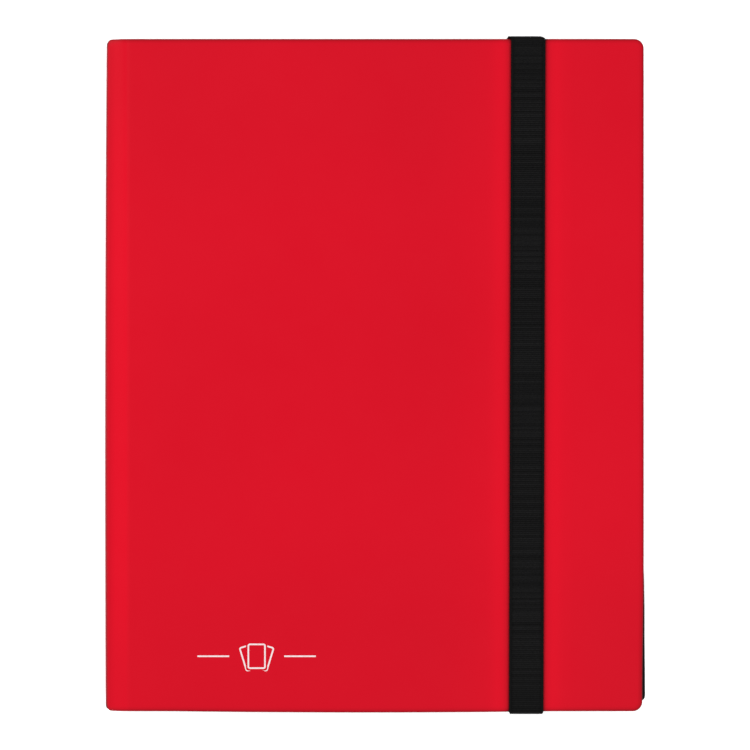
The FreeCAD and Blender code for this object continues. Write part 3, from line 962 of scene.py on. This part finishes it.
def build_legs():
    """The bends over the cover's edges and the upright runs below them. The strap draws in where it
    bends, less so half-way down, and at the head it swings towards the spine."""
    top_z = TOP + STRAP_T / 2 + STRAP_CLEAR - BEND_R
    foot_z = BEND_R + STRAP_T / 2 + STRAP_GAP
    bend = arc(BEND_Y, top_z, 90, 0)
    turned = ramp(np.arange(len(bend)), 0, len(bend) - 1)
    down = np.linspace(0, 1, END_POINTS)[1:]
    upright = [(BEND_Y + BEND_R, top_z + (foot_z - top_z) * share) for share in down]
    in_bend = STRETCH_NARROWING + (BEND_TUCK - STRETCH_NARROWING) * turned
    in_run = BEND_TUCK * (LEG_EASE + (1 - LEG_EASE) * np.abs(2 * down - 1))
    narrow = np.concatenate([in_bend, in_run])
    swing = BEND_SWAY + (HEAD_SWAY - BEND_SWAY) * ramp(down, *HEAD_SWAY_SPAN)
    swing = np.concatenate([BEND_SWAY * turned, swing])
    for name, side, sway in (("strap_head_leg", 1, -swing), ("strap_foot_leg", -1, None)):
        leg = ribbon(name, [(side * y, z) for y, z in bend + upright], narrow, sway)
        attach(leg, "back_cover")
        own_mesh(leg)


def strap_end(name, side, lapped, lean):
    """From the back cover's edge, in through the slot, and along the lining to the lap."""
    low = STRAP_GAP + STRAP_T / 2
    high = SHEET + LINING + STRAP_T / 2
    bend = arc(BEND_Y, BEND_R + low, 0, -90)
    path = list(bend)
    for y in np.linspace(BEND_Y - 0.5 * MM, SLOT_INNER - 1 * MM, END_POINTS):
        path.append((y, low + (high - low) * float(ramp(SLOT_CLIMB_Y - y, 0, SLOT_CLIMB))))
    if lapped:
        for y in np.linspace(LAP_CLIMB_Y + 1 * MM, LAP_CLIMB_Y - LAP_CLIMB - 1 * MM, LAP_POINTS):
            path.append((y, high + STRAP_T * float(ramp(LAP_CLIMB_Y - y, 0, LAP_CLIMB))))
        path.append((LAP_Y, high + STRAP_T))
    else:
        path.append((LAP_Y, high))
    tuck = [BEND_TUCK * (1 - ramp(i, 0, len(bend) - 1)) for i in range(len(path))]
    sway = [-lean * ramp(y, SLOT_OUTER, BEND_Y) for y, _ in path]
    return ribbon(name, [(side * y, z) for y, z in path], tuck, sway)


def thread_tube(points, radius, sides=6):
    """Vertices and faces of a thread that follows points."""
    points = [Vector(p) for p in points]
    verts, faces = [], []
    for i, p in enumerate(points):
        ahead = (points[min(i + 1, len(points) - 1)] - points[max(i - 1, 0)]).normalized()
        across = ahead.cross(Vector((0, 0, 1))).normalized()
        up = across.cross(ahead)
        for k in range(sides):
            a = 2 * math.pi * k / sides
            verts.append(p + across * radius * math.cos(a) + up * radius * math.sin(a))
    for i in range(len(points) - 1):
        for k in range(sides):
            n = (k + 1) % sides
            low, high = i * sides, (i + 1) * sides
            faces.append((low + k, low + n, high + n, high + k))
    faces.append(tuple(range(sides)))
    faces.append(tuple(reversed(range((len(points) - 1) * sides, len(points) * sides))))
    return verts, faces


def build_tacks():
    """Two close zigzag rows that sew the lap of the strap's ends."""
    lo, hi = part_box("strap_bar_tacks")
    verts, faces = [], []
    for row_y in (lo.y + TACK_HALF, hi.y - TACK_HALF):
        points = []
        for i in range(TACK_STITCHES):
            x = lo.x + (hi.x - lo.x) * i / (TACK_STITCHES - 1)
            side = TACK_HALF if i % 2 else -TACK_HALF
            points.append((x, row_y + side, lo.z - THREAD_BITE))
            points.append((x, row_y + side * TACK_SLANT, lo.z + THREAD_R))
        more, joined = thread_tube(points, THREAD_R)
        faces += [tuple(len(verts) + k for k in face) for face in joined]
        verts += more
    tacks = make_object("strap_stitches", verts, faces, (THREAD,), [0] * len(faces))
    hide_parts("strap_bar_tacks")
    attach(tacks, "back_cover")


def build_strap():
    """The front run, the two upright runs, both ends under the back cover and their stitches."""
    build_band()
    build_legs()
    head = strap_end("strap_head_tail", 1, lapped=False, lean=HEAD_SWAY)
    foot = strap_end("strap_foot_tail", -1, lapped=True, lean=0)
    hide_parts("strap_head_end")
    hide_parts("strap_foot_end")
    for obj in (head, foot):
        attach(obj, "back_cover")
    build_tacks()


# --- emblem --------------------------------------------------------------------------------------


def build_emblem():
    """The printed cards and rules, laid onto the cover's own shape."""
    mesh = frame["nodes"]["cover_emblem"].data.copy()
    mesh.name = "emblem"
    mesh.materials.clear()
    mesh.materials.append(INK)
    for vertex in mesh.vertices:
        vertex.co.z += float(face_height(vertex.co.x, vertex.co.y, True)) + INK_LIFT
    emblem = bpy.data.objects.new("emblem_print", mesh)
    bpy.context.scene.collection.objects.link(emblem)
    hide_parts("cover_emblem")
    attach(emblem, "front_cover")


# --- stage ---------------------------------------------------------------------------------------


def build_floor():
    """A pale matte floor, just under the binder."""
    finish = Finish("floor_pale", (0.93, 0.93, 0.93), 0.9, Specular_IOR_Level=0.1, Emission_Strength=0.5)
    finish.shader.inputs["Emission Color"].default_value = (1, 1, 1, 1)
    finish.color_ramp(finish.noise(3, 2), (0.3, (0.92, 0.92, 0.92)), (0.7, (0.94, 0.94, 0.94)))
    size = FLOOR_HALF
    verts = [(-size, -size, 0), (size, -size, 0), (size, size, 0), (-size, size, 0)]
    floor = make_object("floor", verts, [(0, 1, 2, 3)], (finish.material,), [0])
    floor.location.z = -FLOOR_DROP


def area_light(name, place, size, power):
    """A round area light, aimed at the binder."""
    light = bpy.data.lights.new(name, "AREA")
    light.shape = "DISK"
    light.size = size
    light.energy = power
    obj = bpy.data.objects.new(name, light)
    bpy.context.scene.collection.objects.link(obj)
    obj.location = place
    obj.rotation_mode = "QUATERNION"
    obj.rotation_quaternion = Vector(place).to_track_quat("Z", "Y")


def build_world():
    """Light from all round, brightest half-way up and darker overhead, before a white backdrop."""
    world = bpy.data.worlds.new("studio")
    world.use_nodes = True
    nodes, links = world.node_tree.nodes, world.node_tree.links
    direction, split = nodes.new("ShaderNodeTexCoord"), nodes.new("ShaderNodeSeparateXYZ")
    height, seen = nodes.new("ShaderNodeValToRGB"), nodes.new("ShaderNodeLightPath")
    choose = nodes.new("ShaderNodeMixRGB")
    elements = height.color_ramp.elements
    for position in (WORLD_FULL_FROM, WORLD_FULL_TO):
        elements.new(position).color = (1, 1, 1, 1)
    elements[0].color = (WORLD_BELOW, WORLD_BELOW, WORLD_BELOW, 1)
    elements[-1].color = (WORLD_ABOVE, WORLD_ABOVE, WORLD_ABOVE, 1)
    choose.inputs["Color2"].default_value = (1, 1, 1, 1)
    links.new(direction.outputs["Generated"], split.inputs["Vector"])
    links.new(split.outputs["Z"], height.inputs["Fac"])
    links.new(height.outputs["Color"], choose.inputs["Color1"])
    links.new(seen.outputs["Is Camera Ray"], choose.inputs["Fac"])
    links.new(choose.outputs["Color"], nodes["Background"].inputs["Color"])
    bpy.context.scene.world = world


def build_lights():
    """Two soft lamps and the light from all round."""
    area_light("key", KEY_PLACE, KEY_SIZE, KEY_POWER)
    area_light("fill", FILL_PLACE, FILL_SIZE, FILL_POWER)
    build_world()


def build_camera():
    """Straight above the front cover, with the head of the binder up."""
    data = bpy.data.cameras.new("camera")
    data.lens = LENS
    data.sensor_width = SENSOR
    camera = bpy.data.objects.new("camera", data)
    bpy.context.scene.collection.objects.link(camera)
    camera.location = (CAMERA_X, CAMERA_Y, TOP + VIEW_W * LENS / SENSOR)
    bpy.context.scene.camera = camera


build_camera()
build_lights()
build_floor()
build_jackets()
build_linings()
build_pages()
build_strap()
build_emblem()
bpy.context.scene.view_settings.view_transform = "Standard"
